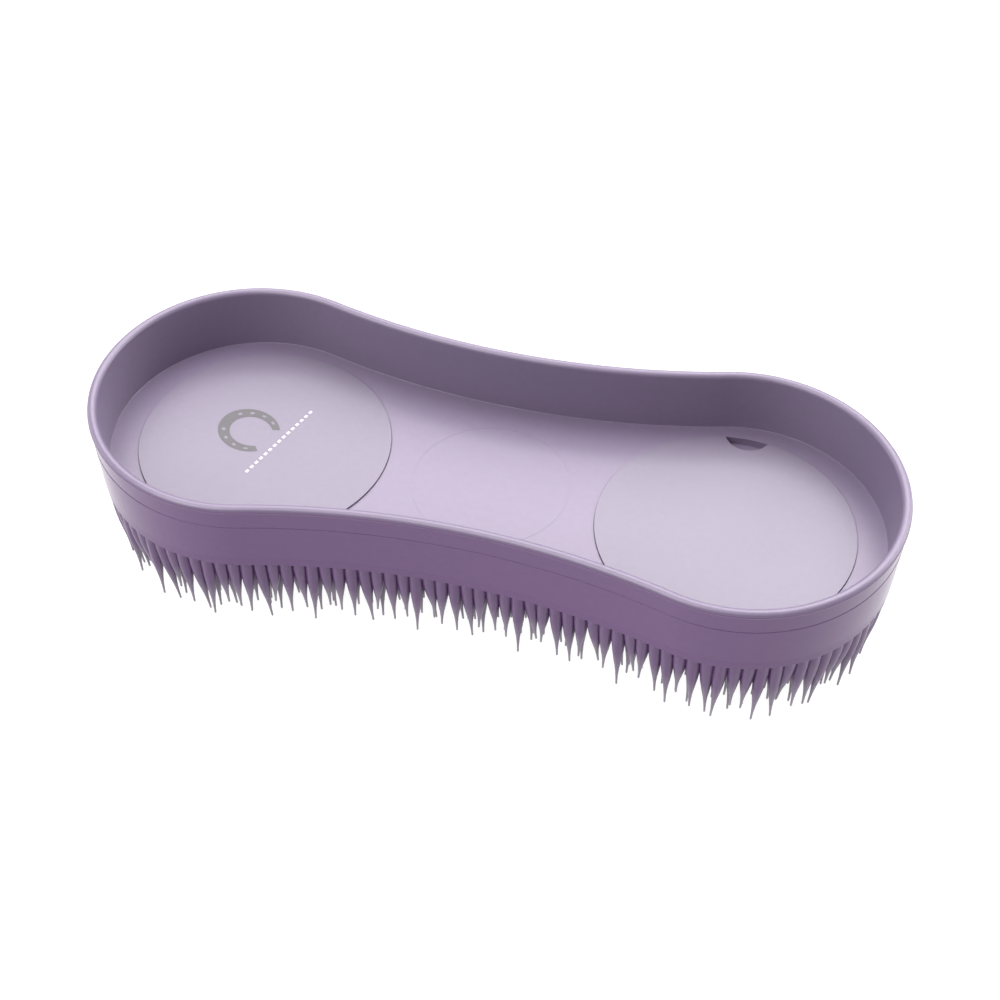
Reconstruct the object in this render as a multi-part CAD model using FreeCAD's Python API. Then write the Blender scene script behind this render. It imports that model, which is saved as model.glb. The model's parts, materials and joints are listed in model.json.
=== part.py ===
"""Waisted grooming brush: a shallow tray for the palm over a soft pad of moulded needles.

Frame: the origin is on the ground in the middle of the brush, under the tips of the long needles.
+X runs along the brush, +Y across it and +Z up. Everything is in millimetres.

Every wall follows one figure-of-eight outline, the outside of the rim: two round ends joined by two hollow
waist arcs. A place on the brush is given by its inset, how far it lies inside that outline, and its height.
"""

import FreeCAD, Part
import math
import os

# Outline of the rim
LENGTH = 165.0
END_RADIUS = 32.2
WAIST_HALF_WIDTH = 25.4

# Heights above the ground
RIM_TOP = 36.0
PARTING_LINE = 30.4          # where the pad's skirt meets the shell's upper band
FLOOR_TOP = 22.3             # the flat that the palm and fingers rest on
SKIRT_BOTTOM = 21.0
SHELL_UNDERSIDE = 19.8
BED_BOTTOM = 18.8            # the face that the needles grow from

# Grip shell
BEAD_RADIUS = 1.0            # the rounded rim, as thick as the wall is just under it
BAND_INSET = 0.2             # upper outer band, just under the bead
RECESS_INSET = 1.15          # outside of the shell behind the skirt
WALL_FOOT_INSET = 2.75       # inner wall just above the floor
FLOOR_FILLET = 0.5
WALL_DRAFT = 0.25            # how far an outside face leans in over one band
CENTRE_RING_RADIUS = 16.0    # fine line scored round the middle of the floor
CENTRE_RING_WIDTH = 0.25
CENTRE_RING_DEPTH = 0.06

# Bristle pad
SKIRT_PROUD = 0.15           # the skirt stands this far out of the shell's band
SKIRT_FOOT_INSET = 0.8
BED_INSET = 0.95             # the bed's edge, a small step in under the skirt
EDGE_ROUND = 0.2

# Cover discs, one in each round end, in seats in the floor
COVER_X = 47.9
SEAT_RADIUS = 26.0
COVER_GAP = 0.06
COVER_PROUD = 0.4            # each cover stands this far above the floor
COVER_THICKNESS = 1.4
WELL_RADIUS = 23.9
WELL_FLOOR = 20.6
SPIGOT_GAP = 0.08            # the ring under the cover that plugs into the well
SPIGOT_WALL = 1.0
SPIGOT_HEIGHT = 0.5
COVER_CHAMFER = 0.15
NOTCH_RADIUS = 4.7           # fingernail notch in the cover's edge
NOTCH_DEPTH = 3.5

# Anchor studs that hold the pad to the shell
STUD_COUNT = 4
STUD_CIRCLE_RADIUS = 15.0
STUD_NECK_RADIUS = 1.5
STUD_HEAD_RADIUS = 2.8
STUD_HEAD_HEIGHT = 0.5
STUD_FIRST_ANGLE = 45.0

# Needles
NEEDLE_PITCH = 2.6           # along a ring
RING_PITCH = 3.0             # from one ring to the next
NEEDLE_ROOT_RADIUS = 1.2
NEEDLE_TIP_RADIUS = 0.22
TIP_HEIGHTS = {"long": 0.0, "medium": 2.2, "short": 4.4}
LENGTH_STEP = 0.755          # spreads the three lengths evenly, with no pattern to see
FIRST_RING_INSET = 2.6
RING_COUNT = 10
MIDDLE_GAP = 2.8             # least distance across the middle line between needles of one ring
MIDDLE_STEP = 0.2            # step in looking along the middle line for room for one more needle
RING_LEANS = [0.9, 0.45]     # how far the tips of the two outer rings lean inwards
SCATTER = 1.0                # most that a tip strays from straight
SCATTER_ANGLE = 137.5        # turn from one needle's stray to the next, in degrees
SCATTER_STEP = 0.618         # step of its size, as a share of the most

# Worked out from the outline: the waist arcs touch the end arcs, so both share a tangent there
END_X = LENGTH / 2 - END_RADIUS
WAIST_RADIUS = (END_X**2 + WAIST_HALF_WIDTH**2 - END_RADIUS**2) / (2 * (END_RADIUS - WAIST_HALF_WIDTH))
WAIST_Y = WAIST_HALF_WIDTH + WAIST_RADIUS
WAIST_HALF_ANGLE = math.degrees(math.atan2(END_X, WAIST_Y))
END_SWEEP = 180 + 2 * WAIST_HALF_ANGLE

# The outline's four arcs, anticlockwise from the front of the right end:
# (centre x, centre y, radius, how the radius changes with the inset, first angle, sweep)
OUTLINE_ARCS = [
    (END_X, 0, END_RADIUS, -1, -END_SWEEP / 2, END_SWEEP),
    (0, WAIST_Y, WAIST_RADIUS, 1, WAIST_HALF_ANGLE - 90, -2 * WAIST_HALF_ANGLE),
    (-END_X, 0, END_RADIUS, -1, 180 - END_SWEEP / 2, END_SWEEP),
    (0, -WAIST_Y, WAIST_RADIUS, 1, 90 + WAIST_HALF_ANGLE, -2 * WAIST_HALF_ANGLE),
]


def polar(centre_x, centre_y, radius, degrees, z=0.0):
    angle = math.radians(degrees)
    return FreeCAD.Vector(centre_x + radius * math.cos(angle), centre_y + radius * math.sin(angle), z)


def fused(shapes):
    whole = shapes[0].multiFuse(shapes[1:]).removeSplitter()
    return whole.Solids[0]


def outline_face(inset, z):
    """The flat face inside the outline moved in by inset, at height z."""
    edges = []
    for x, y, radius, growth, first, sweep in OUTLINE_ARCS:
        arc_radius = radius + growth * inset
        points = [polar(x, y, arc_radius, first + sweep * share, z) for share in (0, 0.5, 1)]
        edges.append(Part.Arc(*points).toShape())
    return Part.Face(Part.Wire(edges))


def plate(inset, bottom, top):
    """A flat plate with the outline's shape."""
    return outline_face(inset, bottom).extrude(FreeCAD.Vector(0, 0, top - bottom))


def profile_edges(profile, to_radius):
    """Edges of a closed section. Each step of the profile is a point (inset, z), reached by a straight line,
    or a pair of points, the middle and the end of an arc."""

    def place(point):
        return FreeCAD.Vector(to_radius(point[0]), 0, point[1])

    edges = []
    here = profile[0]
    for step in profile[1:] + [profile[0]]:
        if isinstance(step[0], tuple):
            middle, end = step
            edges.append(Part.Arc(place(here), place(middle), place(end)).toShape())
            here = end
        else:
            edges.append(Part.LineSegment(place(here), place(step)).toShape())
            here = step
    return edges


def ring(profile):
    """The solid that a section makes when it is carried once round the outline."""
    sectors = []
    for x, y, radius, growth, first, sweep in OUTLINE_ARCS:
        section = Part.Face(Part.Wire(profile_edges(profile, lambda inset: radius + growth * inset)))
        sector = section.revolve(FreeCAD.Vector(0, 0, 0), FreeCAD.Vector(0, 0, 1), abs(sweep))
        sector.rotate(FreeCAD.Vector(0, 0, 0), FreeCAD.Vector(0, 0, 1), min(first, first + sweep))
        sector.translate(FreeCAD.Vector(x, y, 0))
        sectors.append(sector)
    return fused(sectors)


def cylinder(radius, bottom, top, x=0.0, y=0.0):
    return Part.makeCylinder(radius, top - bottom, FreeCAD.Vector(x, y, bottom))


def arc_step(centre, radius, from_degrees, to_degrees):
    """An arc of a profile, as the pair (middle, end). Angles run in the section, from the inset direction."""

    def point(degrees):
        angle = math.radians(degrees)
        return (centre[0] + radius * math.cos(angle), centre[1] + radius * math.sin(angle))

    return (point((from_degrees + to_degrees) / 2), point(to_degrees))


def make_grip_shell():
    """Hard tray: rounded rim, thin wall, and a floor with two seats, two wells and the stud holes."""
    bead_centre = (BEAD_RADIUS, RIM_TOP - BEAD_RADIUS)
    bead_foot = bead_centre[1] - BAND_INSET
    floor_edge = WALL_FOOT_INSET + FLOOR_FILLET
    wall = [
        (0.0, bead_centre[1]),
        arc_step(bead_centre, BEAD_RADIUS, 180, 90),
        arc_step(bead_centre, BEAD_RADIUS, 90, 0),
        (WALL_FOOT_INSET, FLOOR_TOP + FLOOR_FILLET),
        arc_step((floor_edge, FLOOR_TOP + FLOOR_FILLET), FLOOR_FILLET, 180, 270),
        (floor_edge, SHELL_UNDERSIDE),
        (RECESS_INSET + 2 * WALL_DRAFT, SHELL_UNDERSIDE),
        (RECESS_INSET, PARTING_LINE),
        (BAND_INSET + WALL_DRAFT, PARTING_LINE),
        (BAND_INSET, bead_foot - BAND_INSET),
        (0.0, bead_foot),
    ]
    shell = fused([ring(wall), plate(floor_edge - FLOOR_FILLET / 2, SHELL_UNDERSIDE, FLOOR_TOP)])

    groove = cylinder(CENTRE_RING_RADIUS + CENTRE_RING_WIDTH / 2, FLOOR_TOP - CENTRE_RING_DEPTH, RIM_TOP)
    groove = groove.cut(cylinder(CENTRE_RING_RADIUS - CENTRE_RING_WIDTH / 2, 0, RIM_TOP))
    openings = [groove]
    for side in (-1, 1):
        x = side * COVER_X
        seat_floor = FLOOR_TOP + COVER_PROUD - COVER_THICKNESS
        seat = cylinder(SEAT_RADIUS, seat_floor, RIM_TOP, x)
        well = cylinder(WELL_RADIUS, WELL_FLOOR, RIM_TOP, x)
        nail_room = notch_cutter(side, WELL_FLOOR).common(cylinder(SEAT_RADIUS, 0, RIM_TOP, x))
        openings += [seat, well, nail_room]
        openings += [cylinder(STUD_NECK_RADIUS, 0, RIM_TOP, place.x, place.y) for place in stud_places(side)]
    return shell.cut(openings).removeSplitter().Solids[0]


def notch_cutter(side, bottom):
    """Upright cylinder that bites the fingernail notch. The brush looks the same when it is turned end for
    end, so the right cover's notch is at the back and the left one's at the front."""
    notch_y = side * (SEAT_RADIUS - NOTCH_DEPTH + NOTCH_RADIUS)
    return cylinder(NOTCH_RADIUS, bottom, RIM_TOP, side * COVER_X, notch_y)


def make_cover(side):
    """Round snap-in cover, just proud of the floor, with a ring under it that plugs into the well."""
    x = side * COVER_X
    top = FLOOR_TOP + COVER_PROUD
    underside = top - COVER_THICKNESS
    radius = SEAT_RADIUS - COVER_GAP
    disc = cylinder(radius, underside, top - COVER_CHAMFER, x)
    bevel = Part.makeCone(
        radius, radius - COVER_CHAMFER, COVER_CHAMFER, FreeCAD.Vector(x, 0, top - COVER_CHAMFER)
    )
    spigot_radius = WELL_RADIUS - SPIGOT_GAP
    spigot = cylinder(spigot_radius, underside - SPIGOT_HEIGHT, underside, x)
    spigot = spigot.cut(cylinder(spigot_radius - SPIGOT_WALL, 0, RIM_TOP, x))
    return fused([disc, bevel, spigot]).cut(notch_cutter(side, 0)).Solids[0]


def stud_places(side):
    """Centres of the four studs under one cover."""
    step = 360 / STUD_COUNT
    return [
        polar(side * COVER_X, 0, STUD_CIRCLE_RADIUS, STUD_FIRST_ANGLE + number * step)
        for number in range(STUD_COUNT)
    ]


def make_anchor_studs(side):
    """Mushroom studs of the pad's own material, through the shell's floor and headed over in the well."""
    studs = []
    for place in stud_places(side):
        neck = cylinder(STUD_NECK_RADIUS, SHELL_UNDERSIDE, WELL_FLOOR, place.x, place.y)
        head = cylinder(STUD_HEAD_RADIUS, WELL_FLOOR, WELL_FLOOR + STUD_HEAD_HEIGHT, place.x, place.y)
        studs.append(fused([neck, head]))
    return studs


def make_bristle_pad():
    """Soft lower moulding: the bed that carries the needles, and a skirt that wraps the shell's wall."""
    skirt_inset = BAND_INSET + WALL_DRAFT - SKIRT_PROUD
    bed_inner = FIRST_RING_INSET + RING_PITCH
    skirt = [
        (RECESS_INSET, PARTING_LINE),
        (skirt_inset + EDGE_ROUND, PARTING_LINE),
        arc_step((skirt_inset + EDGE_ROUND, PARTING_LINE - EDGE_ROUND), EDGE_ROUND, 90, 180),
        (SKIRT_FOOT_INSET, SKIRT_BOTTOM),
        (BED_INSET, SKIRT_BOTTOM),
        (BED_INSET, BED_BOTTOM + EDGE_ROUND),
        (BED_INSET + EDGE_ROUND, BED_BOTTOM),
        (bed_inner, BED_BOTTOM),
        (bed_inner, SHELL_UNDERSIDE),
        (RECESS_INSET + 2 * WALL_DRAFT, SHELL_UNDERSIDE),
    ]
    return fused([ring(skirt), plate(FIRST_RING_INSET, BED_BOTTOM, SHELL_UNDERSIDE)])


def ring_places(inset, phase):
    """Evenly spaced places round the outline moved in by inset, each with its direction into the brush.
    Past the middle of the waist the two waist arcs cross, and the ring is then a loop in each end."""
    lengths = []
    for _, _, radius, growth, _, sweep in OUTLINE_ARCS:
        lengths.append((radius + growth * inset) * math.radians(abs(sweep)))
    count = round(sum(lengths) / NEEDLE_PITCH)
    places = []
    for number in range(count):
        along = (number + phase) / count * sum(lengths)
        arc = 0
        while along > lengths[arc]:
            along -= lengths[arc]
            arc += 1
        x, y, radius, growth, first, sweep = OUTLINE_ARCS[arc]
        degrees = first + sweep * along / lengths[arc]
        place = polar(x, y, radius + growth * inset, degrees)
        on_an_end = y == 0
        if on_an_end or place.y * math.copysign(1, y) >= MIDDLE_GAP / 2:
            places.append((place, polar(0, 0, growth, degrees)))
    return places


def make_needle(place, lean, length_name, number):
    """One tapered needle. Its tip strays a little, as soft needles do, and never to the same side twice."""
    stray = SCATTER * math.sqrt(number * SCATTER_STEP % 1)
    tip = place + lean + polar(0, 0, stray, number * SCATTER_ANGLE)
    root = FreeCAD.Vector(place.x, place.y, BED_BOTTOM)
    tip.z = TIP_HEIGHTS[length_name]
    up = FreeCAD.Vector(0, 0, 1)
    circles = [
        Part.Wire(Part.makeCircle(radius, centre, up))
        for centre, radius in ((root, NEEDLE_ROOT_RADIUS), (tip, NEEDLE_TIP_RADIUS))
    ]
    return Part.makeLoft(circles, True, True)


def middle_places(taken):
    """Places on the middle line, from the middle of each end inwards, that the rings leave free."""
    places = []
    for step in range(round(END_X / MIDDLE_STEP)):
        for side in (-1, 1):
            place = FreeCAD.Vector(side * (END_X - step * MIDDLE_STEP), 0, 0)
            if all((place - other).Length >= NEEDLE_PITCH for other in taken + places):
                places.append(place)
    return places


def make_needle_groups():
    """All needles by node name: each ring's long, medium and short needles, then those on the middle line."""
    groups = {}
    roots = []
    length_names = list(TIP_HEIGHTS)
    for ring_number in range(RING_COUNT):
        inset = FIRST_RING_INSET + ring_number * RING_PITCH
        lean = RING_LEANS[ring_number] if ring_number < len(RING_LEANS) else 0.0
        for place, inward in ring_places(inset, ring_number % 2 / 2):
            number = len(roots)
            length_name = length_names[int(number * LENGTH_STEP % 1 * len(length_names))]
            node = f"needle_ring_{ring_number + 1}_{length_name}"
            groups.setdefault(node, []).append(make_needle(place, inward * lean, length_name, number))
            roots.append(place)
    straight = FreeCAD.Vector()
    middle = middle_places(roots)
    groups["needle_middle_row"] = [make_needle(middle[n], straight, "medium", n) for n in range(len(middle))]
    return groups


def export(node, solids):
    shape = solids[0] if len(solids) == 1 else Part.makeCompound(solids)
    if not all(solid.isValid() and solid.Volume > 0 for solid in solids):
        raise ValueError(f"{node} has a solid that isn't sound")
    shape.exportStep(os.path.join("parts", node + ".step"))
    print(f"{node}: {len(solids)} solid(s), {sum(solid.Volume for solid in solids) / 1000:.2f} cm3")


def main():
    os.makedirs("parts", exist_ok=True)
    export("grip_shell", [make_grip_shell()])
    export("bristle_pad", [make_bristle_pad()])
    for side, name in ((-1, "left"), (1, "right")):
        export(f"cover_disc_{name}", [make_cover(side)])
        export(f"anchor_studs_{name}", make_anchor_studs(side))
    for node, needles in make_needle_groups().items():
        export(node, needles)


main()
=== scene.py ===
"""Looks of the waisted grooming brush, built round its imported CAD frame. Metres, +Z up."""

import json
import math

import bmesh
import bpy
from mathutils import Matrix, Vector


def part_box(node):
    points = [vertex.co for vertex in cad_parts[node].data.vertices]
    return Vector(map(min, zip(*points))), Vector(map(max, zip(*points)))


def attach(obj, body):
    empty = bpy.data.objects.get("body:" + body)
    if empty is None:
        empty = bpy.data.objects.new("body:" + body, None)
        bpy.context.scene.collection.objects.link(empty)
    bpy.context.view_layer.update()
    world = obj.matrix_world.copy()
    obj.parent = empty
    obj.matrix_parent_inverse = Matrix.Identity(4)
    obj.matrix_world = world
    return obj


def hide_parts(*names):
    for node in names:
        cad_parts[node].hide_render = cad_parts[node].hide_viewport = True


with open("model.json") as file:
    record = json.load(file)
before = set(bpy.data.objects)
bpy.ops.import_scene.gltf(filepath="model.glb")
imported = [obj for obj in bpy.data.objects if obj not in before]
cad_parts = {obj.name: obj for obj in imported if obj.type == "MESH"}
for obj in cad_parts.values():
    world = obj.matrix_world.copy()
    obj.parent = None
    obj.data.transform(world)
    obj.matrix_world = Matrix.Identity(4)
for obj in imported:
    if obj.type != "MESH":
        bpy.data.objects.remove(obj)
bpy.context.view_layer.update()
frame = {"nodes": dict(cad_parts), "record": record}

MM = 0.001

# ---- the outline, measured on the frame --------------------------------------
# A place is given by its inset, how far it lies inside the outside of the rim, and its height.

SHELL_LOW, SHELL_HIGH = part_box("grip_shell")
PAD_LOW, PAD_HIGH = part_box("bristle_pad")
COVER_LOW, COVER_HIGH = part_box("cover_disc_right")
FLOOR_TOP = frame["record"]["mounts"][0]["pos_m"][2]

END_RADIUS = SHELL_HIGH.y
END_X = SHELL_HIGH.x - END_RADIUS
WAIST_HALF_WIDTH = max(v.co.y for v in frame["nodes"]["grip_shell"].data.vertices if abs(v.co.x) < MM)
WAIST_RADIUS = (END_X**2 + WAIST_HALF_WIDTH**2 - END_RADIUS**2) / (2 * (END_RADIUS - WAIST_HALF_WIDTH))
WAIST_Y = WAIST_HALF_WIDTH + WAIST_RADIUS
WAIST_HALF_ANGLE = math.atan2(END_X, WAIST_Y)
END_SWEEP = math.pi + 2 * WAIST_HALF_ANGLE

# (centre x, centre y, radius, how the radius changes with the inset, first angle, sweep)
OUTLINE_ARCS = [
    (END_X, 0, END_RADIUS, -1, -END_SWEEP / 2, END_SWEEP),
    (0, WAIST_Y, WAIST_RADIUS, 1, WAIST_HALF_ANGLE - math.pi / 2, -2 * WAIST_HALF_ANGLE),
    (-END_X, 0, END_RADIUS, -1, math.pi - END_SWEEP / 2, END_SWEEP),
    (0, -WAIST_Y, WAIST_RADIUS, 1, math.pi / 2 + WAIST_HALF_ANGLE, -2 * WAIST_HALF_ANGLE),
]
OUTLINE_STEP = 0.6 * MM


def outline_points(inset):
    """Points round the outline moved in by inset, the same number at every inset."""
    points = []
    for x, y, radius, growth, first, sweep in OUTLINE_ARCS:
        count = math.ceil(radius * abs(sweep) / OUTLINE_STEP)
        for number in range(count):
            angle = first + sweep * number / count
            reach = radius + growth * inset
            points.append((x + reach * math.cos(angle), y + reach * math.sin(angle)))
    return points


def inset_of(x, y):
    """How far a place lies inside the outline."""
    if math.atan2(abs(x), WAIST_Y - abs(y)) > WAIST_HALF_ANGLE:
        return END_RADIUS - math.hypot(abs(x) - END_X, y)
    return math.hypot(x, WAIST_Y - abs(y)) - WAIST_RADIUS


# ---- materials ------------------------------------------------------------


class Nodes:
    """A material's node tree, with short calls for what the materials here need."""

    def __init__(self, name):
        self.material = bpy.data.materials.new(name)
        self.material.use_nodes = True
        self.tree = self.material.node_tree
        self.shader = self.tree.nodes["Principled BSDF"]

    def add(self, kind, **settings):
        node = self.tree.nodes.new(kind)
        for name, value in settings.items():
            setattr(node, name, value)
        return node

    def link(self, source, target):
        self.tree.links.new(source, target)

    def noise(self, scale, detail=4.0, roughness=0.5):
        """Noise in object coordinates, which are metres in the row frame."""
        texture = self.add("ShaderNodeTexNoise")
        texture.inputs["Scale"].default_value = scale
        texture.inputs["Detail"].default_value = detail
        texture.inputs["Roughness"].default_value = roughness
        self.link(self.add("ShaderNodeTexCoord").outputs["Object"], texture.inputs["Vector"])
        return texture.outputs["Fac"]

    def attribute(self, name):
        return self.add("ShaderNodeAttribute", attribute_name=name).outputs["Fac"]

    def spread(self, source, low, high, to_low=0.0, to_high=1.0):
        node = self.add("ShaderNodeMapRange")
        for name, value in (("From Min", low), ("From Max", high), ("To Min", to_low), ("To Max", to_high)):
            node.inputs[name].default_value = value
        self.link(source, node.inputs["Value"])
        return node.outputs["Result"]

    def mix(self, share, first, second):
        """Mixes two colours, each a colour or a socket, by a socket."""
        node = self.add("ShaderNodeMix", data_type="RGBA")
        self.link(share, node.inputs[0])
        for socket, value in ((node.inputs[6], first), (node.inputs[7], second)):
            if isinstance(value, tuple):
                socket.default_value = (*value, 1)
            else:
                self.link(value, socket)
        return node.outputs[2]

    def bump(self, height, distance, under=None):
        node = self.add("ShaderNodeBump")
        node.inputs["Distance"].default_value = distance
        self.link(height, node.inputs["Height"])
        if under is not None:
            self.link(under, node.inputs["Normal"])
        return node.outputs["Normal"]

    def set(self, **values):
        """Sets sockets of the shader, with _ for a space in the name."""
        for name, value in values.items():
            self.shader.inputs[name.replace("_", " ")].default_value = value


def darker(colour, share):
    return tuple(channel * share for channel in colour)


def moulded(name, colour, roughness, level, peel=3e-6, grain=6e-7):
    """Moulded plastic: faint clouds of flow in the colour and the gloss, orange peel and a fine grain."""
    n = Nodes(name)
    cloud = n.spread(n.noise(45, 3.0), 0.3, 0.7)
    speck = n.spread(n.noise(700, 2.0), 0.3, 0.7)
    tone = n.mix(cloud, darker(colour, 0.97), colour)
    n.link(n.mix(speck, tone, darker(colour, 1.03)), n.shader.inputs["Base Color"])
    patch = n.spread(n.noise(60, 3.0), 0.3, 0.7, roughness * 0.98, roughness * 1.02)
    n.link(patch, n.shader.inputs["Roughness"])
    fine = n.bump(n.noise(5200, 1.0), grain)
    n.link(n.bump(n.noise(420, 1.0), peel, under=fine), n.shader.inputs["Normal"])
    n.set(IOR=1.5, Specular_IOR_Level=level)
    return n


def shell_plastic(inside, foot, level):
    """The tray's satin plastic, which turns darker with painted shade and glossier towards the foot of the
    bead.
    Each of the two finishes is (colour, roughness)."""
    n = moulded("shell_plastic", *inside, level)
    # the "outside" attribute is each point's share of the painted shade and gloss at the bead's foot
    share = n.attribute("outside")
    plain = n.shader.inputs["Base Color"].links[0].from_socket
    n.link(n.mix(share, plain, foot[0]), n.shader.inputs["Base Color"])
    n.link(n.spread(share, 0.0, 1.0, inside[1], foot[1]), n.shader.inputs["Roughness"])
    return n


def needle_elastomer(root_colour, lit_tip_colour, roughness, level):
    """Soft needle: the pad's colour near the root, paler and greyer towards the thin, half-clear tip with
    painted light showing through it.
    """
    n = moulded("needle_elastomer", root_colour, roughness, level, peel=0.0)
    along = n.spread(n.attribute("along"), TIP_LIGHT_START, 1.0)
    plain = n.shader.inputs["Base Color"].links[0].from_socket
    # the tip is painted paler with light showing through it
    n.link(n.mix(along, plain, lit_tip_colour), n.shader.inputs["Base Color"])
    n.set(Subsurface_Weight=0.35, Subsurface_Radius=(1, 0.85, 1), Subsurface_Scale=0.8 * MM)
    return n


# (colour, roughness)
SHELL_FINISH = ((0.168, 0.129, 0.205), 0.42)
# painted shade at the bead's foot: a darker colour, with a glossier roughness
BEAD_FOOT_SHADE = ((0.085, 0.030, 0.120), 0.22)
SHELL_LEVEL = 0.8                  # specular level
# (colour, roughness, specular level)
COVER_FINISH = ((0.146, 0.116, 0.177), 0.47, 1.0)
POLISHED_FINISH = ((0.111, 0.052, 0.147), 0.20, 0.36)
NEEDLE_COLOUR = (0.096, 0.041, 0.131)
# painted light: the needle tips' paler, greyer colour, for light through the thin tips
TIP_LIGHT_COLOUR = (0.25, 0.225, 0.27)
NEEDLE_ROUGHNESS = 0.35
NEEDLE_LEVEL = 0.42
TIP_LIGHT_START = 0.4                   # share of a needle's length where the tip's painted light starts to turn it paler

MATERIALS = {
    "shell_plastic": shell_plastic(SHELL_FINISH, BEAD_FOOT_SHADE, SHELL_LEVEL).material,
    "cover_plastic": moulded("cover_plastic", *COVER_FINISH).material,
    "pad_elastomer": moulded("pad_elastomer", *POLISHED_FINISH).material,
    "needle_elastomer": needle_elastomer(NEEDLE_COLOUR, TIP_LIGHT_COLOUR, NEEDLE_ROUGHNESS, NEEDLE_LEVEL).material,
}
POLISHED_BAND = moulded("polished_band", *POLISHED_FINISH).material


def printed_ink(name, colour, roughness):
    """Thin screen ink: slightly uneven cover, and the grain of the plastic under it."""
    n = Nodes(name)
    cover = n.spread(n.noise(1800, 3.0), 0.3, 0.7)
    n.link(n.mix(cover, darker(colour, 0.9), colour), n.shader.inputs["Base Color"])
    n.link(n.spread(n.noise(900), 0.3, 0.7, roughness - 0.05, roughness + 0.05), n.shader.inputs["Roughness"])
    n.link(n.bump(n.noise(5200, 1.0), 1e-6), n.shader.inputs["Normal"])
    n.set(Specular_IOR_Level=0.4)
    return n.material


def set_material(thing, material):
    thing.data.materials.clear()
    thing.data.materials.append(material)


def smooth(thing, angle=35):
    """Smooth shading up to a sharp angle, with the flat faces' normals kept flat."""
    thing.data.shade_smooth()
    thing.data.set_sharp_from_angle(angle=math.radians(angle))
    weighted = thing.modifiers.new("weighted normals", "WEIGHTED_NORMAL")
    weighted.keep_sharp = True
    weighted.weight = 80


def new_piece(name, mesh_maker, body, material, replaced=()):
    """Makes one piece from a bmesh that mesh_maker fills, and fastens it to the frame."""
    bm = bmesh.new()
    mesh_maker(bm)
    mesh = bpy.data.meshes.new(name)
    bm.to_mesh(mesh)
    bm.free()
    piece = bpy.data.objects.new(name, mesh)
    bpy.context.scene.collection.objects.link(piece)
    set_material(piece, material)
    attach(piece, body)
    if replaced:
        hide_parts(*replaced)
    return piece


# ---- sections carried round the outline ----------------------------------------


def rounded(centre, radius, start, end, steps=6):
    """Points of an arc in the section, (inset, z), between two angles in degrees."""
    angles = [math.radians(start + (end - start) * step / steps) for step in range(steps + 1)]
    return [(centre[0] + radius * math.cos(angle), centre[1] + radius * math.sin(angle)) for angle in angles]


def bridge(bm, upper, lower):
    """Quads between two rings of the same number of points."""
    count = len(upper)
    for here in range(count):
        there = (here + 1) % count
        bm.faces.new((upper[here], lower[here], lower[there], upper[there]))


def fill_swept(bm, section):
    """A section, from a flat upper face out and down to a flat lower face, carried round the outline."""
    rings = [[bm.verts.new((x, y, z)) for x, y in outline_points(inset)] for inset, z in section]
    for upper, lower in zip(rings, rings[1:]):
        bridge(bm, upper, lower)
    bm.faces.new(rings[0])
    bm.faces.new(list(reversed(rings[-1])))


RECESS_TOP_INSET = 1.15 * MM       # outside of the shell behind the skirt, at its top
RECESS_FOOT_INSET = 1.65 * MM

# ---- bristle pad ----------------------------------------------------------

SKIRT_TOP_INSET = 0.38 * MM        # the skirt's outside, at its top
SKIRT_FOOT_INSET = 0.80 * MM
SKIRT_EDGE_ROUND = 0.06 * MM
BED_INSET = 0.95 * MM
BED_EDGE_ROUND = 0.25 * MM
SKIRT_HEIGHT_OVER_BED = 2.2 * MM   # from the bed's lower face to the small step under the skirt


def fill_pad(bm):
    """The bed's upper face, the recess that grips the shell, the skirt's outside and the bed's lower face."""
    top, bottom = PAD_HIGH.z, PAD_LOW.z
    step = bottom + SKIRT_HEIGHT_OVER_BED
    section = [(RECESS_FOOT_INSET, SHELL_LOW.z), (RECESS_TOP_INSET, top)]
    section += rounded((SKIRT_TOP_INSET + SKIRT_EDGE_ROUND, top - SKIRT_EDGE_ROUND), SKIRT_EDGE_ROUND, 90, 180)
    small = (BED_INSET - SKIRT_FOOT_INSET) / 2
    section += rounded((SKIRT_FOOT_INSET + small, step + small), small, 180, 270)
    section += rounded((BED_INSET - small, step - small), small, 90, 0)
    section += rounded((BED_INSET + BED_EDGE_ROUND, bottom + BED_EDGE_ROUND), BED_EDGE_ROUND, 180, 270)
    fill_swept(bm, section)


pad = new_piece("soft_pad", fill_pad, "brush", MATERIALS["pad_elastomer"], ["bristle_pad"])
smooth(pad, 40)


# ---- grip shell -------------------------------------------------------------

BEAD_RADIUS = 1.0 * MM
BAND_TOP_INSET = 0.20 * MM         # upper outer band, just under the bead
BAND_FOOT_INSET = 0.45 * MM        # and at the parting line
BEAD_BLEND = 0.5 * MM              # height over which the bead runs into the band
BEAD_STEPS = 24
BLEND_STEPS = 6
FOOT_SHADE_START = 0.30 * MM             # painted shade starts to darken the bead this far below its top
FOOT_SHADE_BLEND = 0.60 * MM             # and is at its full painted shade and gloss this much further down
BAND_DROP = 0.80 * MM              # the polished band starts this far below the top, part way down the bead
WALL_FOOT_INSET = 2.75 * MM
FLOOR_FILLET = 0.1 * MM
CENTRE_RING_RADIUS = 16.0 * MM
CENTRE_RING_WIDTH = 0.25 * MM
CENTRE_RING_DEPTH = 0.03 * MM
COVER_GAP = 0.06 * MM
COVER_THICKNESS = 1.4 * MM
WELL_RADIUS = 23.9 * MM
WELL_FLOOR = 20.6 * MM
SPIGOT_RADIUS = 23.82 * MM
SPIGOT_WALL = 1.0 * MM
NOTCH_RADIUS = 4.7 * MM
NOTCH_DEPTH = 3.5 * MM
STUD_RADIUS = 1.5 * MM
STUD_CIRCLE_RADIUS = 15.0 * MM
EDGE_SIDES = 360                   # sides of a large circle
NOTCH_SIDES = 120
STUD_SIDES = 48

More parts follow.
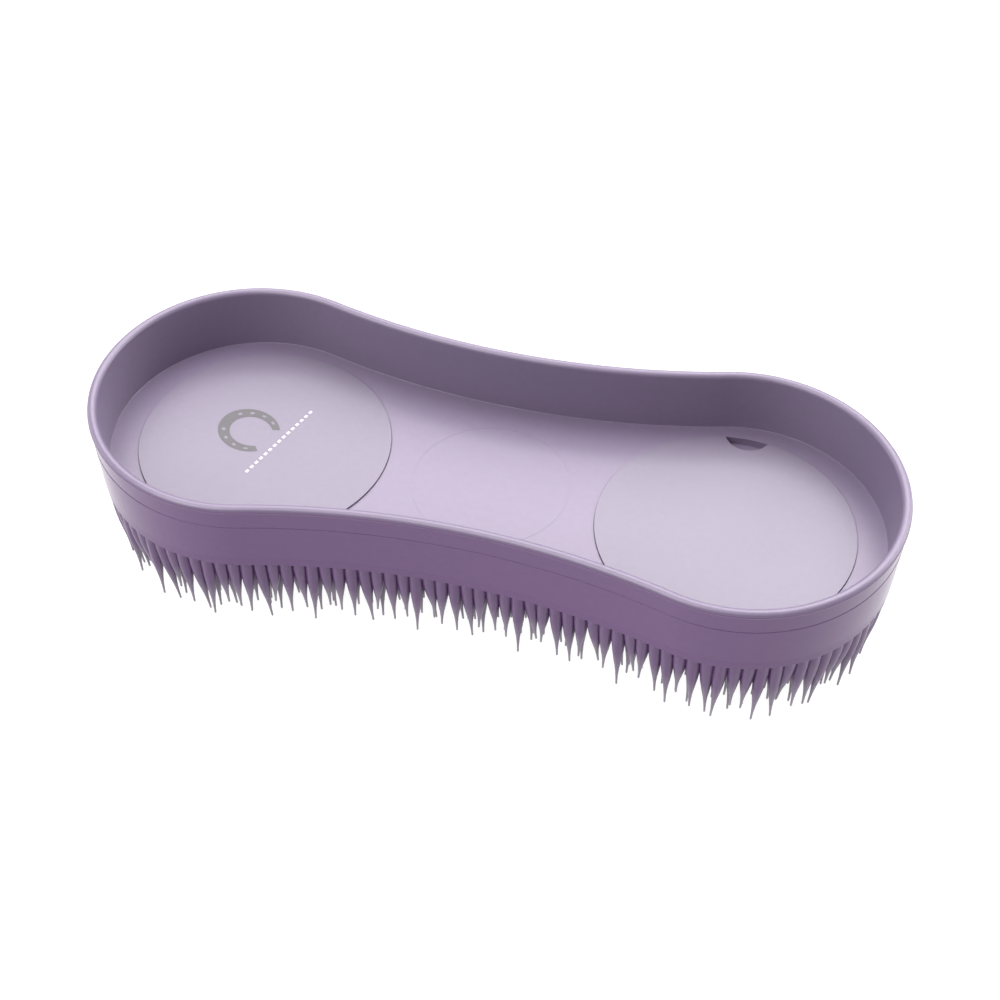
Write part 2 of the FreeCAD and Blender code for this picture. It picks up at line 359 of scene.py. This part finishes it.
COVER_RADIUS = (COVER_HIGH.x - COVER_LOW.x) / 2
COVER_X = (COVER_HIGH.x + COVER_LOW.x) / 2
COVER_TOP = COVER_HIGH.z
SEAT_RADIUS = COVER_RADIUS + COVER_GAP
ABOVE = SHELL_HIGH.z + 1 * MM      # a height clear of the whole brush


def circle(x, y, radius, sides):
    angles = [2 * math.pi * side / sides for side in range(sides)]
    return [(x + radius * math.cos(angle), y + radius * math.sin(angle)) for angle in angles]


def upright_block(points, low, high, hole=()):
    """A working object: a closed outline, with a hole if it has one, carried up from low to high."""
    bm = bmesh.new()
    outer = [[bm.verts.new((x, y, z)) for x, y in points] for z in (high, low)]
    bridge(bm, *outer)
    if hole:
        inner = [[bm.verts.new((x, y, z)) for x, y in hole] for z in (high, low)]
        bridge(bm, *reversed(inner))
        bridge(bm, inner[0], outer[0])
        bridge(bm, outer[1], inner[1])
    else:
        bm.faces.new(outer[0])
        bm.faces.new(list(reversed(outer[1])))
    return working_object(bm)


def working_object(bm):
    mesh = bpy.data.meshes.new("working")
    bm.to_mesh(mesh)
    bm.free()
    block = bpy.data.objects.new("working", mesh)
    bpy.context.scene.collection.objects.link(block)
    return block


def combined(start, others, operation):
    """Start joined to the others, or cut by them, as one working object. All of them are used up."""
    group = bpy.data.collections.new("working")
    for other in others:
        group.objects.link(other)
    modifier = start.modifiers.new(operation, "BOOLEAN")
    modifier.operation = operation
    modifier.solver = "EXACT"
    modifier.operand_type = "COLLECTION"
    modifier.collection = group
    graph = bpy.context.evaluated_depsgraph_get()
    mesh = bpy.data.meshes.new_from_object(start.evaluated_get(graph))
    for thing in (start, *others):
        bpy.data.objects.remove(thing)
    bpy.data.collections.remove(group)
    whole = bpy.data.objects.new("working", mesh)
    bpy.context.scene.collection.objects.link(whole)
    return whole


def use_up(bm, block):
    bm.from_mesh(block.data)
    bpy.data.objects.remove(block)


def notch_centre(side):
    """The right cover's fingernail notch is at the back, and the left one's at the front."""
    return side * COVER_X, side * (SEAT_RADIUS - NOTCH_DEPTH + NOTCH_RADIUS)


def nail_room(side):
    """The part of the notch's circle inside the seat."""
    x, y = notch_centre(side)
    seat = circle(side * COVER_X, 0, SEAT_RADIUS, EDGE_SIDES)
    notch = circle(x, y, NOTCH_RADIUS, NOTCH_SIDES)
    lens = [point for point in seat if math.dist(point, (x, y)) < NOTCH_RADIUS]
    lens += [point for point in notch if math.dist(point, (side * COVER_X, 0)) < SEAT_RADIUS]
    middle_y = side * (SEAT_RADIUS - NOTCH_DEPTH / 2)
    return sorted(lens, key=lambda point: math.atan2(point[1] - middle_y, point[0] - x))


def fill_shell(bm):
    """The tray's wall and floor, then its seats, wells, stud holes and the fine ring scored in the middle."""
    rim, floor, bottom, parting = SHELL_HIGH.z, FLOOR_TOP, SHELL_LOW.z, PAD_HIGH.z
    floor_edge = WALL_FOOT_INSET + FLOOR_FILLET
    section = list(reversed(rounded((floor_edge, floor + FLOOR_FILLET), FLOOR_FILLET, 180, 270)))
    section += rounded((BEAD_RADIUS, rim - BEAD_RADIUS), BEAD_RADIUS, 0, 180, steps=BEAD_STEPS)
    for step in range(1, BLEND_STEPS + 1):
        share = step / BLEND_STEPS
        drop = rim - BEAD_RADIUS - BEAD_BLEND * share
        section.append((BAND_TOP_INSET * share**2 * (3 - 2 * share), drop))
    section += [(BAND_FOOT_INSET, parting), (RECESS_TOP_INSET, parting), (RECESS_FOOT_INSET, bottom)]
    swept = bmesh.new()
    fill_swept(swept, section)
    seat_floor = COVER_TOP - COVER_THICKNESS
    ring_outside, ring_inside = (CENTRE_RING_RADIUS + half * CENTRE_RING_WIDTH / 2 for half in (1, -1))
    cutters = [upright_block(
        circle(0, 0, ring_outside, EDGE_SIDES), floor - CENTRE_RING_DEPTH, ABOVE,
        hole=circle(0, 0, ring_inside, EDGE_SIDES),
    )]
    for side in (-1, 1):
        x = side * COVER_X
        cutters.append(upright_block(circle(x, 0, SEAT_RADIUS, EDGE_SIDES), seat_floor, ABOVE))
        cutters.append(upright_block(circle(x, 0, WELL_RADIUS, EDGE_SIDES), WELL_FLOOR, ABOVE))
        cutters.append(upright_block(nail_room(side), WELL_FLOOR, ABOVE))
        offset = STUD_CIRCLE_RADIUS / math.sqrt(2)
        for across, along in ((1, 1), (1, -1), (-1, 1), (-1, -1)):
            hole = circle(x + across * offset, along * offset, STUD_RADIUS, STUD_SIDES)
            cutters.append(upright_block(hole, bottom - 1 * MM, ABOVE))
    use_up(bm, combined(working_object(swept), cutters, "DIFFERENCE"))


def polish_band_and_shade_bead_foot(piece):
    """Gives the outer band its polished plastic, and each point of the bead above it its share of the painted
    shade and gloss at the bead's foot, which the shell's own material mixes in: none on top of the bead and
    inside it."""
    mesh = piece.data
    mesh.materials.append(POLISHED_BAND)
    for face in mesh.polygons:
        on_the_outside = inset_of(face.center.x, face.center.y) < BEAD_RADIUS
        if on_the_outside and face.center.z < SHELL_HIGH.z - BAND_DROP:
            face.material_index = 1
    # each point's share of the painted shade at the bead's foot
    outside = mesh.attributes.new("outside", "FLOAT", "POINT")
    for index, vertex in enumerate(mesh.vertices):
        drop = SHELL_HIGH.z - vertex.co.z
        if inset_of(vertex.co.x, vertex.co.y) < BEAD_RADIUS:
            outside.data[index].value = min(1, max(0, (drop - FOOT_SHADE_START) / FOOT_SHADE_BLEND))


shell = new_piece(
    "tray_shell", fill_shell, "brush", MATERIALS["shell_plastic"], ["grip_shell"],
)
polish_band_and_shade_bead_foot(shell)
smooth(shell)


# ---- cover discs --------------------------------------------------------------

COVER_EDGE_ROUND = 0.08 * MM


def fill_cover(bm, side):
    """A disc with a rounded upper edge, a plug-in ring under it, and the fingernail notch bitten out."""
    x = side * COVER_X
    underside = COVER_TOP - COVER_THICKNESS
    disc = upright_block(circle(x, 0, COVER_RADIUS, EDGE_SIDES), underside, COVER_TOP)
    ring = upright_block(
        circle(x, 0, SPIGOT_RADIUS, EDGE_SIDES), COVER_LOW.z, COVER_TOP - COVER_THICKNESS / 2,
        hole=circle(x, 0, SPIGOT_RADIUS - SPIGOT_WALL, EDGE_SIDES),
    )
    notch = upright_block(circle(*notch_centre(side), NOTCH_RADIUS, NOTCH_SIDES), COVER_LOW.z - 1 * MM, ABOVE)
    use_up(bm, combined(combined(disc, [ring], "UNION"), [notch], "DIFFERENCE"))
    bmesh.ops.remove_doubles(bm, verts=bm.verts, dist=1e-6)
    on_top = [edge for edge in bm.edges if all(abs(v.co.z - COVER_TOP) < 1e-6 for v in edge.verts)]
    upper_edge = [edge for edge in on_top if edge.calc_face_angle(0) > math.radians(60)]
    bmesh.ops.bevel(bm, geom=upper_edge, offset=COVER_EDGE_ROUND, segments=4, profile=0.5, affect="EDGES")


for side, name in ((-1, "left"), (1, "right")):
    cover = new_piece(
        f"floor_cover_{name}",
        lambda bm: fill_cover(bm, side),
        f"cover_{name}", MATERIALS["cover_plastic"], [f"cover_disc_{name}"],
    )
    smooth(cover)


# ---- needles --------------------------------------------------------------

NEEDLE_SIDES = 10
NEEDLE_RINGS = 10                  # rings of points along a needle
FLARE_STEPS = 5                    # steps from one to the next over the flare
ROOT_FLARE = 0.40 * MM             # how much wider the needle is where it runs into the bed
FLARE_SHARE = 0.70                 # share of the length over which the flare runs out
FULLNESS = 2.8                     # over 1: the needle stays full near its root
SHARPNESS = 2.8                    # over 1: and then runs out into a thin tip
TIP_ROUND_SHARE = 0.018            # share of the length over which the tip closes
BEND_POWER = 1.35                  # over 1: the needle leaves the bed upright and bends further out
TIP_ROUNDING = 0.7                 # radius of the last ring before the point, as a share of the tip's


def needle_ends(node):
    """Root centre, root radius, tip centre and tip radius of each needle solid of a CAD node."""
    bm = bmesh.new()
    bm.from_mesh(node.data)
    bmesh.ops.remove_doubles(bm, verts=bm.verts, dist=1e-7)
    unseen = set(bm.verts)
    needles = []
    while unseen:
        island = set()
        edge = {unseen.pop()}
        while edge:
            island |= edge
            edge = {e.other_vert(v) for v in edge for e in v.link_edges} & unseen
            unseen -= edge
        ends = []
        for height in (max(v.co.z for v in island), min(v.co.z for v in island)):
            rim = [v.co for v in island if abs(v.co.z - height) < 1e-6]
            low = Vector([min(co[axis] for co in rim) for axis in range(3)])
            high = Vector([max(co[axis] for co in rim) for axis in range(3)])
            ends.append(((low + high) / 2, (high.x - low.x) / 2))
        needles.append(ends)
    bm.free()
    return sorted(needles, key=lambda ends: tuple(ends[0][0]))


def needle_sections():
    """Share of the way from root to tip of each ring of points, closer together near the tip."""
    shares = [FLARE_SHARE * part / FLARE_STEPS for part in range(FLARE_STEPS + 1)]
    first, last = FLARE_SHARE, 1 - TIP_ROUND_SHARE
    steps = NEEDLE_RINGS - len(shares)
    return shares + [first + (last - first) * step / steps for step in range(1, steps + 1)]


def fill_needles(bm, needles):
    along = bm.verts.layers.float.new("along")
    for (root, root_radius), (tip, tip_radius) in needles:
        lean = tip - root
        previous = None
        for share in needle_sections():
            flare = max(0.0, 1 - share / FLARE_SHARE) * ROOT_FLARE
            radius = tip_radius + (root_radius - tip_radius) * (1 - share**FULLNESS)**SHARPNESS + flare
            centre = root + Vector((lean.x * share**BEND_POWER, lean.y * share**BEND_POWER, lean.z * share))
            ring = []
            for side in range(NEEDLE_SIDES):
                angle = 2 * math.pi * side / NEEDLE_SIDES
                vert = bm.verts.new(centre + radius * Vector((math.cos(angle), math.sin(angle), 0)))
                vert[along] = share
                ring.append(vert)
            if previous:
                bridge(bm, previous, ring)
            else:
                bm.faces.new(ring)
            previous = ring
        half = []
        middle = root + Vector((lean.x, lean.y, lean.z * (1 - TIP_ROUND_SHARE / 3)))
        for vert in previous:
            spot = bm.verts.new(middle + (Vector((vert.co.x, vert.co.y, middle.z)) - middle) * TIP_ROUNDING)
            spot[along] = 1.0
            half.append(spot)
        bridge(bm, previous, half)
        point = bm.verts.new(tip)
        point[along] = 1.0
        for side in range(NEEDLE_SIDES):
            bm.faces.new((half[side], point, half[(side + 1) % NEEDLE_SIDES]))


for name in sorted(frame["nodes"]):
    if name.startswith("needle_"):
        ends = needle_ends(frame["nodes"][name])
        tuft = new_piece(
            "soft_" + name,
            lambda bm: fill_needles(bm, ends),
            "brush", MATERIALS["needle_elastomer"], [name],
        )
        tuft.data.shade_smooth()
        tuft.data.set_sharp_from_angle(angle=math.radians(60))


# ---- carried-over CAD nodes ---------------------------------------------------

SLOT_OF = {row["node"]: row["material_slot"] for row in frame["record"]["subparts"]}
for name, node in frame["nodes"].items():
    set_material(node, MATERIALS[SLOT_OF[name]])
    if not node.hide_render:
        smooth(node)


# ---- printed mark on the left cover ------------------------------------------

MARK_CENTRE = Vector((-COVER_X - 4.3 * MM, 1.9 * MM, COVER_TOP))
MARK_TURN = math.radians(70)       # the mark's base line, from +X
INK_THICKNESS = 0.03 * MM
SHOE_RADIUS = 5.9 * MM
SHOE_WIDTH = 2.3 * MM
SHOE_STRETCH = 1.14                # how much longer it is than it is wide
SHOE_OPENING = 76                  # degrees left open at the heels
SHOE_STEPS = 72
SHOE_HEEL_TAPER = 0.38             # how much narrower the arms are at the heels
GROOVE_OUTSIDE = 0.36              # the row of nail holes, as shares of the way across the horseshoe
GROOVE_INSIDE = 0.64
NAILS_PER_SIDE = 4
FIRST_NAIL = 0.08                  # places round the horseshoe, from one heel to the other
LAST_NAIL = 0.38                   # the last one before the toe
NAIL_HALF_LENGTH = 0.016
RULE_LENGTH = 22 * MM
RULE_WIDTH = 0.6 * MM
RULE_OFFSET = 6.9 * MM
RULE_SHIFT = 1.4 * MM              # along its own line, from the horseshoe's middle
RULE_DASHES = 15
DASH_SHARE = 0.55                  # share of each step that is inked


def mark_place(along, across, height):
    """A point of the mark, given along its base line and across it."""
    turned = Matrix.Rotation(MARK_TURN, 3, "Z") @ Vector((along, across, 0))
    return MARK_CENTRE + turned + Vector((0, 0, height))


def fill_band(bm, outer, inner):
    """A thin flat band of ink between two rows of points, standing just proud of the cover."""
    rows = []
    for points, height in ((outer, 0), (outer, INK_THICKNESS), (inner, INK_THICKNESS), (inner, 0)):
        rows.append([bm.verts.new(mark_place(*point, height)) for point in points])
    for row, following in zip(rows, rows[1:] + rows[:1]):
        for here in range(len(row) - 1):
            bm.faces.new((row[here], row[here + 1], following[here + 1], following[here]))
    for end in (0, -1):
        bm.faces.new([row[end] for row in rows])
    bmesh.ops.recalc_face_normals(bm, faces=bm.faces)


def shoe_arc(share, start, end):
    """Points of the horseshoe between two places round it, at a share of the way across its width."""
    points = []
    steps = max(2, math.ceil(abs(end - start) * SHOE_STEPS))
    for step in range(steps + 1):
        place = start + (end - start) * step / steps
        heel = abs(place - 0.5) * 2
        radius = SHOE_RADIUS - share * SHOE_WIDTH * (1 - SHOE_HEEL_TAPER * heel**2)
        angle = math.radians(-90 + SHOE_OPENING / 2 + (360 - SHOE_OPENING) * place)
        points.append((radius * math.cos(angle), radius * math.sin(angle) * SHOE_STRETCH))
    return points


def fill_shoe(bm):
    """A horseshoe with a row of nail holes down each side."""
    for outside, inside in ((0, GROOVE_OUTSIDE), (GROOVE_INSIDE, 1)):
        fill_band(bm, shoe_arc(outside, 0, 1), shoe_arc(inside, 0, 1))
    spacing = (LAST_NAIL - FIRST_NAIL) / (NAILS_PER_SIDE - 1)
    nails = [FIRST_NAIL + spacing * nail for nail in range(NAILS_PER_SIDE)]
    nails += [1 - nail for nail in reversed(nails)]
    starts = [0] + [nail + NAIL_HALF_LENGTH for nail in nails]
    ends = [nail - NAIL_HALF_LENGTH for nail in nails] + [1]
    for start, end in zip(starts, ends):
        fill_band(bm, shoe_arc(GROOVE_OUTSIDE, start, end), shoe_arc(GROOVE_INSIDE, start, end))


def fill_rule(bm):
    """A stitched rule: a row of short dashes under the horseshoe."""
    step = RULE_LENGTH / RULE_DASHES
    for dash in range(RULE_DASHES):
        start = RULE_SHIFT + dash * step - RULE_LENGTH / 2
        ends = [(start, -RULE_OFFSET), (start + DASH_SHARE * step, -RULE_OFFSET)]
        fill_band(bm, ends, [(along, across - RULE_WIDTH) for along, across in ends])


GREY = (0.112, 0.104, 0.114)
WHITE = (0.56, 0.54, 0.59)
INK_ROUGHNESS = 0.5

grey_ink = printed_ink("grey_ink", GREY, INK_ROUGHNESS)
white_ink = printed_ink("white_ink", WHITE, INK_ROUGHNESS)
new_piece("printed_shoe", fill_shoe, "cover_left", grey_ink)
new_piece("printed_rule", fill_rule, "cover_left", white_ink)


# ---- stage, light and camera ------------------------------------------------

TABLE_HALF_SIZE = 6.0
TABLE_EDGE_HEIGHT = 0.5
TABLE_GREY = 0.25
TABLE_GLOW = 0.95
WORLD_STRENGTH = 0.15


def make_table():
    """A plain pale sheet that glows, as for a cut-out product picture. Its far edge is turned up, so that a
    low view doesn't look past it."""
    mesh = bpy.data.meshes.new("table")
    corners = [
        (x * TABLE_HALF_SIZE, y * TABLE_HALF_SIZE, z)
        for z in (0, TABLE_EDGE_HEIGHT) for x, y in ((-1, -1), (1, -1), (1, 1), (-1, 1))
    ]
    sides = [(here + 1, here, here + 4, here + 5) for here in range(3)] + [(0, 3, 7, 4)]
    mesh.from_pydata(corners, [], [(0, 1, 2, 3)] + sides)
    table = bpy.data.objects.new("table", mesh)
    bpy.context.scene.collection.objects.link(table)
    n = Nodes("table_sheet")
    n.set(Base_Color=(TABLE_GREY, TABLE_GREY, TABLE_GREY, 1), Roughness=0.9, Specular_IOR_Level=0.0)
    n.set(Emission_Color=(1, 1, 1, 1), Emission_Strength=TABLE_GLOW)
    set_material(table, n.material)


def softbox(name, size, radiance, azimuth, elevation, distance=1.0):
    """A rectangle of light that faces the brush. Azimuth 0 is behind it, and grows to the left."""
    flat = math.cos(math.radians(elevation)) * distance
    place = Vector((
        -flat * math.sin(math.radians(azimuth)),
        flat * math.cos(math.radians(azimuth)),
        distance * math.sin(math.radians(elevation)),
    ))
    light = bpy.data.lights.new(name, "AREA")
    light.shape = "RECTANGLE"
    light.size, light.size_y = size
    light.energy = math.pi * size[0] * size[1] * radiance
    lamp = bpy.data.objects.new(name, light)
    lamp.location = place
    lamp.rotation_euler = (-place).to_track_quat("-Z", "Y").to_euler()
    bpy.context.scene.collection.objects.link(lamp)


def make_world(strength):
    world = bpy.data.worlds.new("studio")
    world.use_nodes = True
    background = world.node_tree.nodes["Background"]
    background.inputs["Color"].default_value = (1, 1, 1, 1)
    background.inputs["Strength"].default_value = strength
    bpy.context.scene.world = world


CAMERA_AZIMUTH = 14.33             # degrees to the right of straight in front
CAMERA_ELEVATION = 47.36
CAMERA_ROLL = 0.355
CAMERA_DISTANCE = 369.2 * MM       # from the target, along the line of sight
TARGET_HEIGHT = 35.5 * MM          # the target is over the middle of the brush
TARGET_ASIDE = -1.84 * MM          # how far right of the middle of the view it is
TARGET_ABOVE = 11.97 * MM          # and how far above
LENS = 67.65                       # mm
SENSOR_WIDTH = 36                  # mm


def make_camera():
    """Looks down at the brush from the front and a little to the right, from under half a metre away."""
    azimuth, elevation, roll = (math.radians(a) for a in (CAMERA_AZIMUTH, CAMERA_ELEVATION, CAMERA_ROLL))
    back = Vector((
        math.sin(azimuth) * math.cos(elevation),
        -math.cos(azimuth) * math.cos(elevation),
        math.sin(elevation),
    ))
    level = Vector((math.cos(azimuth), math.sin(azimuth), 0))
    upright = back.cross(level)
    right = math.cos(roll) * level + math.sin(roll) * upright
    up = math.cos(roll) * upright - math.sin(roll) * level
    target = Vector((0, 0, TARGET_HEIGHT))
    place = target + back * CAMERA_DISTANCE - right * TARGET_ASIDE - up * TARGET_ABOVE
    camera = bpy.data.cameras.new("camera")
    camera.sensor_width = SENSOR_WIDTH
    camera.lens = LENS
    camera.clip_start = 0.01
    seen = bpy.data.objects.new("camera", camera)
    seen.matrix_world = Matrix((
        (right.x, up.x, back.x, place.x),
        (right.y, up.y, back.y, place.y),
        (right.z, up.z, back.z, place.z),
        (0, 0, 0, 1),
    ))
    bpy.context.scene.collection.objects.link(seen)
    bpy.context.scene.camera = seen


make_table()
make_world(WORLD_STRENGTH)
softbox("back_high_softbox", (1.0, 0.6), 4.1, CAMERA_AZIMUTH, 62)
softbox("back_low_softbox", (1.0, 0.5), 3.2, CAMERA_AZIMUTH, 40)
softbox("back_right_softbox", (0.7, 0.7), 4.1, CAMERA_AZIMUTH - 60, 50)
softbox("top_softbox", (0.9, 0.9), 0.8, CAMERA_AZIMUTH, 88)
softbox("front_left_softbox", (0.7, 0.7), 5.5, CAMERA_AZIMUTH + 125, 50)
softbox("right_softbox", (0.7, 0.5), 4.4, CAMERA_AZIMUTH - 75, 15)
softbox("left_softbox", (0.7, 0.5), 1.7, CAMERA_AZIMUTH + 75, 15)
make_camera()
bpy.context.scene.view_settings.view_transform = "Standard"
